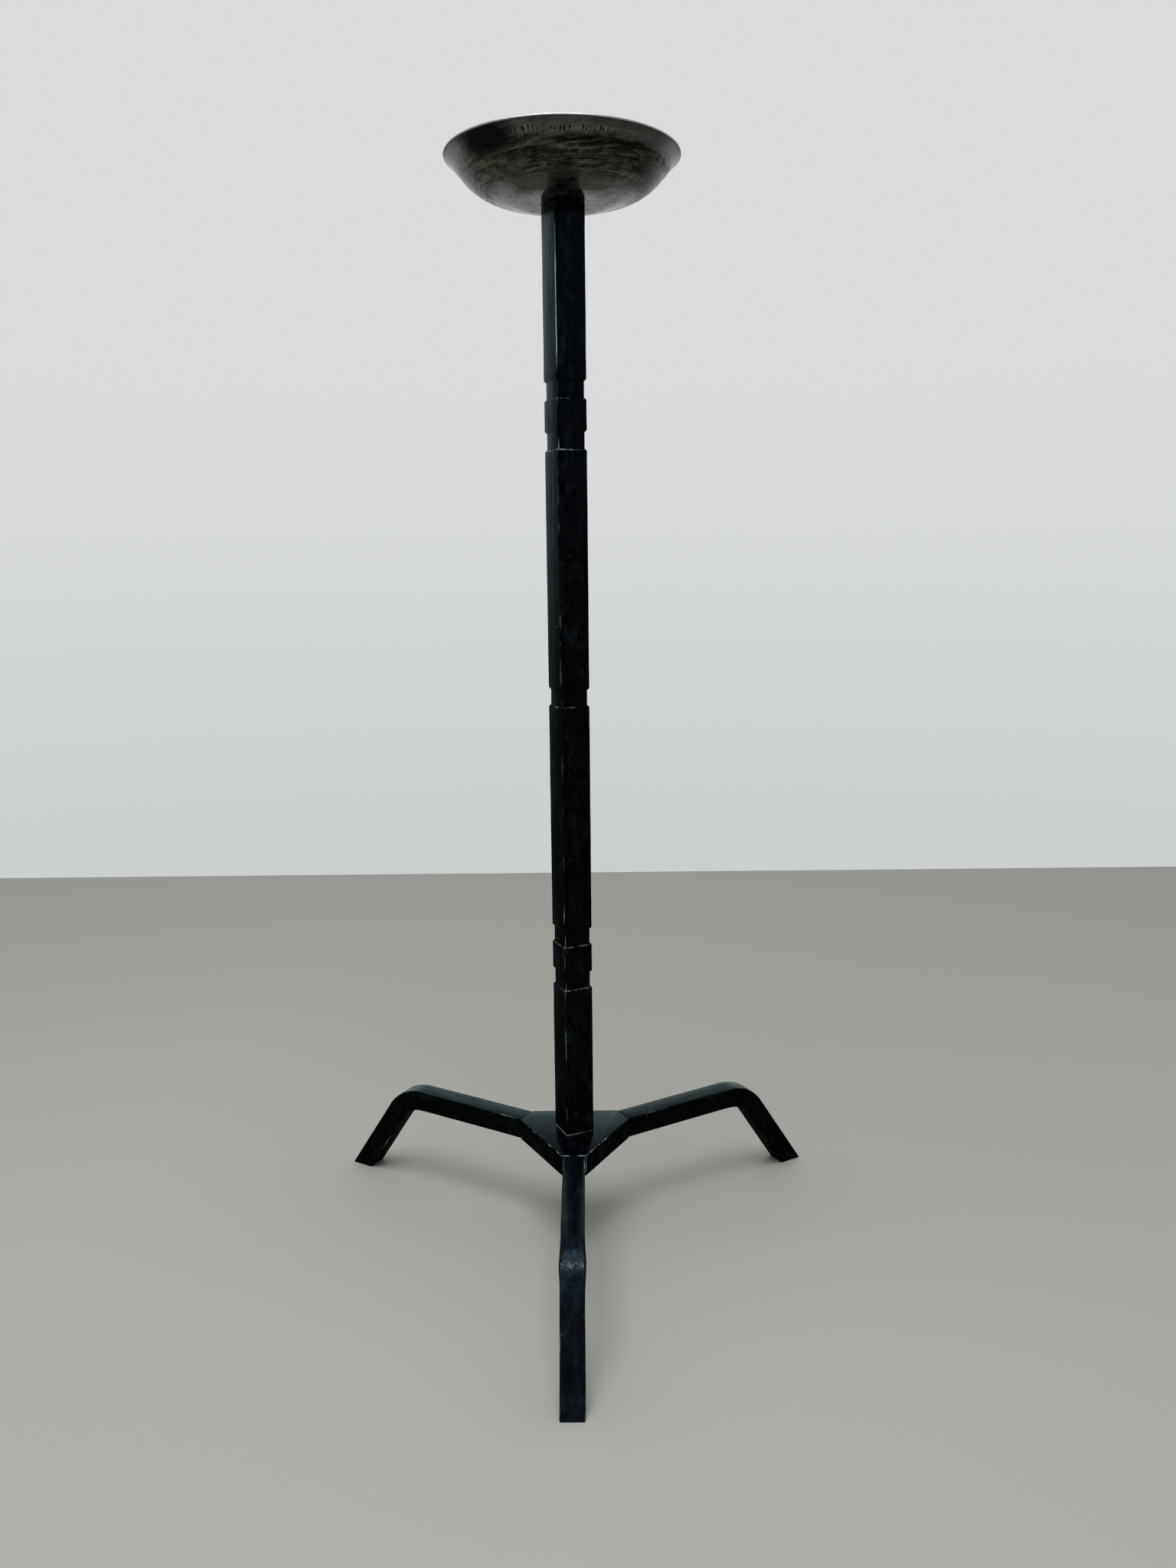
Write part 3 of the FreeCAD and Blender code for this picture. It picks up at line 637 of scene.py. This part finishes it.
def fired_steel(name):
    """Spun steel half hidden by black and brown fire scale, with a bright cut edge.

    Bare steel is its metallic part and scale its matt part. It reads where the sheet is puckered,
    where the ridges between the creases carry a painted highlight, and where its cut edge is.
    """
    material, shader, tree = new_material(name, Specular_IOR_Level=0.06)
    place = tree.node("TexCoord", out="Object")
    crease = tree.node("Attribute", out="Fac", attribute_name="crease")
    ridge_highlight = tree.node("Attribute", out="Fac", attribute_name="ridge_highlight")
    cut_edge = tree.node("Attribute", out="Fac", attribute_name="cut_edge")
    across, deep, high = (place.node("SeparateXYZ", {"Vector": place}, out=axis) for axis in "XYZ")
    radius = (across * across + deep * deep).math("SQRT")
    up = high - BOWL_LOW
    round_the_bowl = {"X": across.math("DIVIDE", radius), "Y": deep.math("DIVIDE", radius)}
    around = place.node("CombineXYZ", {**round_the_bowl, "Z": radius + high - across * STROKE_CLIMB})

    strokes = around.stretch(0.034, 0.034, 1).noise(260, detail=8, roughness=0.68, distortion=0.8)
    smears = around.stretch(0.012, 0.012, 1).noise(150, detail=7, roughness=0.68, distortion=1.2)
    clouds = place.noise(30, detail=5, roughness=0.6, distortion=0.6)
    spots = place.noise(170, detail=8, roughness=0.70)
    veins = place.noise(36, detail=6, roughness=0.6, distortion=1.2)

    fired = (radius + clouds * 0.030).rise(*FIRED_FROM)
    on_lip = (up + (spots - 0.5) * 0.006).rise(*LIP_FROM)
    ends = across.math("ABSOLUTE").rise(*ENDS_FROM)
    thin = strokes * 0.16 + smears * 0.50 + spots * 0.34 - across * SCALE_LEAN
    thick = thin.rise(0.590, 0.44)
    cracked = (veins - 0.5).math("ABSOLUTE").rise(0.022, 0.004) * spots.rise(0.40, 0.58)
    blotched = (spots * 0.6 + clouds * 0.4).rise(0.46, 0.60)
    off_band = ((up - BAND_HEIGHT) * BAND_NARROWNESS).math("ABSOLUTE") + (smears - 0.5) * 3
    band = off_band.rise(1.25, 0.15) * across.rise(*BAND_FROM) * spots.rise(0.34, 0.54)
    flattened = (1, 1, SOOT_FLATNESS)
    to_soot = {0: place.stretch(*flattened), 1: SOOT_PATCH * Vector(flattened)}
    from_soot = place.node("VectorMath", to_soot, out="Value", operation="DISTANCE")
    soot = (from_soot + (clouds - 0.5) * 0.016 + (smears - 0.5) * 0.024).rise(*SOOT_REACH)

    in_dish = (cracked * 0.8).math("MAXIMUM", blotched * 0.45) * (1 - fired)
    cover = in_dish + fired * (0.28 + thick * 0.72) * (1 - on_lip * 0.45) * (1 - ends * 0.85)
    darkest = band.math("MAXIMUM", soot).math("MAXIMUM", crease.rise(0.10, 0.80) * 0.95)
    darkest = darkest.math("MAXIMUM", up.rise(*EDGE_LINE_FROM))
    cover = cover.math("MAXIMUM", darkest)

    warm = (strokes * 0.5 + smears * 0.5).rise(0.46, 0.62) * fired
    steel = on_lip.blend(warm.blend(GREY_STEEL, WARM_STEEL), LIP_STEEL)
    # Paler steel on the ridges between the creases is a painted highlight, as if they catch the light
    steel = (ridge_highlight * (1 - crease)).blend(steel, RIDGE_HIGHLIGHT)
    scale = ((strokes * 0.6 + clouds * 0.4).rise(0.42, 0.58) * fired).blend(BLACK_SCALE, BROWN_SCALE)
    scale = ((spots * 0.6 + smears * 0.4).rise(0.56, 0.64) * fired).blend(scale, RUST)
    scale = darkest.blend(scale, BLACK_SCALE)
    bump = tree.node("Bump", {"Height": strokes, "Strength": 0.08, "Distance": 0.0003})
    feed(
        shader,
        Base_Color=cut_edge.blend(cover.blend(steel, scale), BARE_EDGE),
        Roughness=0.09 + strokes * 0.12 + fired * 0.06 + cover * 0.06,
        Metallic=(1 - cover).math("MAXIMUM", cut_edge),
        Normal=bump,
    )
    return material


def climbing(angle):
    """Along a sheet that climbs at an angle."""
    return Vector((math.cos(angle), 0, math.sin(angle)))


def inward(angle):
    """Square to a sheet that climbs at an angle, on the side of the bowl's inside."""
    return Vector((-math.sin(angle), 0, math.cos(angle)))


bowl = bmesh.new()
crease_note = bowl.verts.layers.float.new("crease")
ridge_highlight_note = bowl.verts.layers.float.new("ridge_highlight")
edge_note = bowl.verts.layers.float.new("cut_edge")
ring = [bowl.verts.new((BOWL_HOLE, 0, BOWL_LOW))]
ring = sweep(bowl, ring, SEAT_STEPS, move=((BOWL_SEAT - BOWL_HOLE) / SEAT_STEPS, 0, 0))
bend_centre = Vector((BOWL_SEAT, 0, BOWL_LOW + BEND_RADIUS))
ring = sweep(bowl, ring, BEND_STEPS, centre=bend_centre, angle=-DISH_ANGLE)
ring = sweep(bowl, ring, DISH_STEPS, move=climbing(DISH_ANGLE) * DISH_LENGTH / DISH_STEPS)
dish_end = bend_centre - inward(DISH_ANGLE) * BEND_RADIUS + climbing(DISH_ANGLE) * DISH_LENGTH
knuckle_centre = dish_end + inward(DISH_ANGLE) * KNUCKLE_RADIUS
ring = sweep(bowl, ring, KNUCKLE_STEPS, centre=knuckle_centre, angle=DISH_ANGLE - WALL_ANGLE)
ring = sweep(bowl, ring, WALL_STEPS, move=climbing(WALL_ANGLE) * WALL_LENGTH / WALL_STEPS)
knuckle_end = knuckle_centre - inward(WALL_ANGLE) * KNUCKLE_RADIUS
wall_end = knuckle_end + climbing(WALL_ANGLE) * WALL_LENGTH
lip_centre = wall_end - inward(WALL_ANGLE) * LIP_RADIUS
sweep(bowl, ring, LIP_STEPS, centre=lip_centre, angle=WALL_ANGLE - LIP_ANGLE)
bmesh.ops.spin(
    bowl, geom=bowl.verts[:] + bowl.edges[:], cent=(0, 0, 0), axis=(0, 0, 1), angle=math.tau,
    steps=BOWL_FACETS, use_merge=True, use_duplicate=False,
)
bmesh.ops.recalc_face_normals(bowl, faces=bowl.faces)

draw = random.Random(CREASE_SEED)
creases = []
for k in range(CREASES):
    spot = (k + draw.uniform(-CREASE_JITTER, CREASE_JITTER)) * math.tau / CREASES
    from_front = math.degrees(math.remainder(spot + math.pi / 2, math.tau))
    strength = max([SMOOTHER] + [most for low, high, most in PUCKERED if low < from_front < high])
    strength *= draw.uniform(*CREASE_STRENGTHS)
    creases.append((spot, strength, draw.uniform(-CREASE_SHIFT, CREASE_SHIFT)))
for vert in bowl.verts:
    radius = math.hypot(vert.co.x, vert.co.y)
    sideways = Vector((vert.co.x, vert.co.y, 0)).normalized()
    off_seat = radius - BOWL_SEAT
    if off_seat > UNEVEN_START:
        push = noise.noise(vert.co * UNEVEN_SCALE) * UNEVEN * min(1, off_seat / UNEVEN_FULL)
        vert.co += sideways * push
    turn = math.atan2(vert.co.y, vert.co.x) % math.tau
    nearest = min(CREASES - 1, int(turn / math.tau * CREASES))
    for k in (nearest - 1, nearest, (nearest + 1) % CREASES):
        spot, strength, shift = creases[k]
        beside = math.remainder(turn - spot, math.tau) * radius / CREASE_WIDTH
        along = (radius - wall_end.x - shift - CREASE_OFFSET) / CREASE_REACH
        dent = strength * math.exp(-beside * beside - along * along)
        vert.co -= sideways * dent * CREASE_DEPTH
        vert[crease_note] = max(vert[crease_note], dent)
        swell = strength * math.exp(-((beside / RIDGE_HIGHLIGHT_SPREAD) ** 2) - along * along)
        vert[ridge_highlight_note] = max(vert[ridge_highlight_note], min(1, swell))
bmesh.ops.solidify(bowl, geom=bowl.faces[:], thickness=-BOWL_SHEET)
rim_edges = [
    edge
    for edge in bowl.edges
    if edge.calc_face_angle(0) > RIM_CORNER
    and min(math.hypot(v.co.x, v.co.y) for v in edge.verts) > wall_end.x
]
rounds = bmesh.ops.bevel(
    bowl, geom=rim_edges, offset=RIM_ROUND, offset_type="OFFSET", affect="EDGES",
    segments=RIM_STEPS, profile=0.5, material=-1,
)
for vert in {vert for face in rounds["faces"] for vert in face.verts}:
    vert[edge_note] = 1
add_piece(bowl, "bowl", fired_steel("fired_steel"), "drip_bowl")

# Spike and its washer: a pin turned from bright bar, dulled by heat and wax, with a collar that has
# two flats for a spanner. Its threaded shank goes through the washer and the bowl into the stem.
SPIKE_LOW, SPIKE_TIP = (corner.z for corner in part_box("pricket_spike"))
SPIKE_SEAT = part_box("pricket_washer")[1].z
SHANK_RADIUS = 0.004
COLLAR_RADIUS = 0.010
COLLAR_HEIGHT = 0.005
COLLAR_FLATS = 0.0085
SPIKE_RADIUS = 0.0045
TIP_RADIUS = 0.0007
SPIKE_FACETS = 96
SPIKE_EDGE_ROUND = 0.0006
SPIKE_EDGE_STEPS = 3
SPIKE_CORNER = math.radians(30)

SPIKE_PALE = (0.36, 0.35, 0.33, 1)
SPIKE_DULL = (0.16, 0.15, 0.14, 1)


def turned_steel(name):
    """Turned steel with tool rings and a dull, smoky film."""
    material, shader, tree = new_material(name, Metallic=1.0)
    place = tree.node("TexCoord", out="Object")
    rings = place.stretch(0.1, 0.1, 1).noise(2600, detail=2)
    film = place.noise(160, detail=5, roughness=0.6)
    bump = tree.node("Bump", {"Height": rings, "Strength": 0.2, "Distance": 0.0002})
    feed(
        shader,
        Base_Color=film.rise(0.36, 0.66).blend(SPIKE_PALE, SPIKE_DULL),
        Roughness=0.28 + film * 0.22,
        Normal=bump,
    )
    return material


spike_steel = turned_steel("turned_steel")
spike = bmesh.new()
collar_top = SPIKE_SEAT + COLLAR_HEIGHT
profile = [
    (0, SPIKE_LOW),
    (SHANK_RADIUS, SPIKE_LOW),
    (SHANK_RADIUS, SPIKE_SEAT),
    (COLLAR_RADIUS, SPIKE_SEAT),
    (COLLAR_RADIUS, collar_top),
    (SPIKE_RADIUS, collar_top),
    (TIP_RADIUS, SPIKE_TIP - TIP_RADIUS / 2),
    (0, SPIKE_TIP),
]
points = [spike.verts.new((out, 0, up)) for out, up in profile]
for first, last in zip(points, points[1:]):
    spike.edges.new((first, last))
bmesh.ops.spin(
    spike, geom=spike.verts[:] + spike.edges[:], cent=(0, 0, 0), axis=(0, 0, 1), angle=math.tau,
    steps=SPIKE_FACETS, use_merge=True, use_duplicate=False,
)
bmesh.ops.remove_doubles(spike, verts=spike.verts, dist=TINY)
bmesh.ops.recalc_face_normals(spike, faces=spike.faces)
turned_edges = [edge for edge in spike.edges if edge.calc_face_angle(0) > SPIKE_CORNER]
bmesh.ops.bevel(
    spike, geom=turned_edges, offset=SPIKE_EDGE_ROUND, offset_type="OFFSET", affect="EDGES",
    segments=SPIKE_EDGE_STEPS, profile=0.5, material=-1, clamp_overlap=True,
)
# The collar's flats
for vert in spike.verts:
    if SPIKE_SEAT - TINY < vert.co.z < collar_top + TINY:
        vert.co.x = max(-COLLAR_FLATS, min(COLLAR_FLATS, vert.co.x))
add_piece(spike, "spike", spike_steel, "pricket_spike")

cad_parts["pricket_washer"].data.materials.clear()
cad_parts["pricket_washer"].data.materials.append(spike_steel)

# Studio: a plain pale floor that ends behind the stand, with pale space beyond it, one broad soft
# light overhead, and diffuse light that comes mostly from the back. Gloss shows the pale space.
FLOOR_BACK = 1.34
FLOOR_SPAN = 4.0
FLOOR_TONE = (0.352, 0.345, 0.320, 1)
# Pale space, a little darker low down
SPACE_TONE = (0.70, 0.712, 0.722, 1)
SPACE_LOW_TONE = (0.585, 0.615, 0.620, 1)
SPACE_CLIMB = (-0.32, 0.16)
# Diffuse light: its tone, its level all round, and what is added from the back and from above
SURROUND_TONE = (0.975, 1.0, 0.995, 1)
DARK = (0, 0, 0, 1)
EVEN_LEVEL, BACK_LEVEL, TOP_LEVEL = 0.05, 0.66, 0.2
BACK_CLIMB, TOP_CLIMB = (-0.6, 0.55), (0.25, 0.95)
LIGHT_PLACE = (-0.25, -0.70, 2.5)
LIGHT_SIZE = 1.6
LIGHT_POWER = 52

floor_mesh = bmesh.new()
bmesh.ops.create_grid(floor_mesh, x_segments=1, y_segments=1, size=FLOOR_SPAN)
bmesh.ops.translate(floor_mesh, vec=(0, FLOOR_BACK - FLOOR_SPAN, 0), verts=floor_mesh.verts)
floor_data = bpy.data.meshes.new("floor")
floor_mesh.to_mesh(floor_data)
floor_mesh.free()
floor_finish = new_material("floor", Base_Color=FLOOR_TONE, Specular_IOR_Level=0.2, Roughness=0.6)[0]
floor_data.materials.append(floor_finish)
floor = bpy.data.objects.new("floor", floor_data)
bpy.context.scene.collection.objects.link(floor)

world = bpy.data.worlds.new("studio")
world.use_nodes = True
bpy.context.scene.world = world
sky = Shade(world.node_tree)
direction = sky.node("TexCoord", out="Generated")
back, up = (direction.node("SeparateXYZ", {"Vector": direction}, out=axis) for axis in "YZ")
level = EVEN_LEVEL + back.rise(*BACK_CLIMB) * BACK_LEVEL + up.rise(*TOP_CLIMB) * TOP_LEVEL
surround = level.blend(DARK, SURROUND_TONE)
space = up.rise(*SPACE_CLIMB).blend(SPACE_LOW_TONE, SPACE_TONE)
seeing_rays = ("Is Camera Ray", "Is Glossy Ray", "Is Transmission Ray")
camera_ray, glossy_ray, transmission_ray = (sky.node("LightPath", out=kind) for kind in seeing_rays)
seen = camera_ray.math("MAXIMUM", glossy_ray).math("MAXIMUM", transmission_ray)
feed(world.node_tree.nodes["Background"], Color=seen.blend(surround, space))

lamp = bpy.data.lights.new("overhead", "AREA")
lamp.shape = "SQUARE"
lamp.size = LIGHT_SIZE
lamp.energy = LIGHT_POWER
overhead = bpy.data.objects.new("overhead", lamp)
overhead.location = LIGHT_PLACE
bpy.context.scene.collection.objects.link(overhead)

# Camera: about a metre in front of the stem, level with its upper half and tilted a little down.
# Its focal length is given in pixels of the whole frame.
FOCAL_PIXELS = 1548.9
FRAME_HEIGHT = 2048
SENSOR_WIDTH = 36
CAMERA_PLACE = Vector((0.0163, -1.0633, 0.6367))
CAMERA_TILT = math.radians(-10.577)
CAMERA_ROLL = math.radians(-0.565)

lens = bpy.data.cameras.new("camera")
lens.sensor_width = SENSOR_WIDTH
lens.lens = FOCAL_PIXELS / FRAME_HEIGHT * SENSOR_WIDTH
camera = bpy.data.objects.new("camera", lens)
camera.matrix_world = (
    Matrix.Translation(CAMERA_PLACE)
    @ Matrix.Rotation(math.pi / 2 + CAMERA_TILT, 4, "X")
    @ Matrix.Rotation(CAMERA_ROLL, 4, "Z")
)
bpy.context.scene.collection.objects.link(camera)
bpy.context.scene.camera = camera
bpy.context.scene.view_settings.view_transform = "Standard"
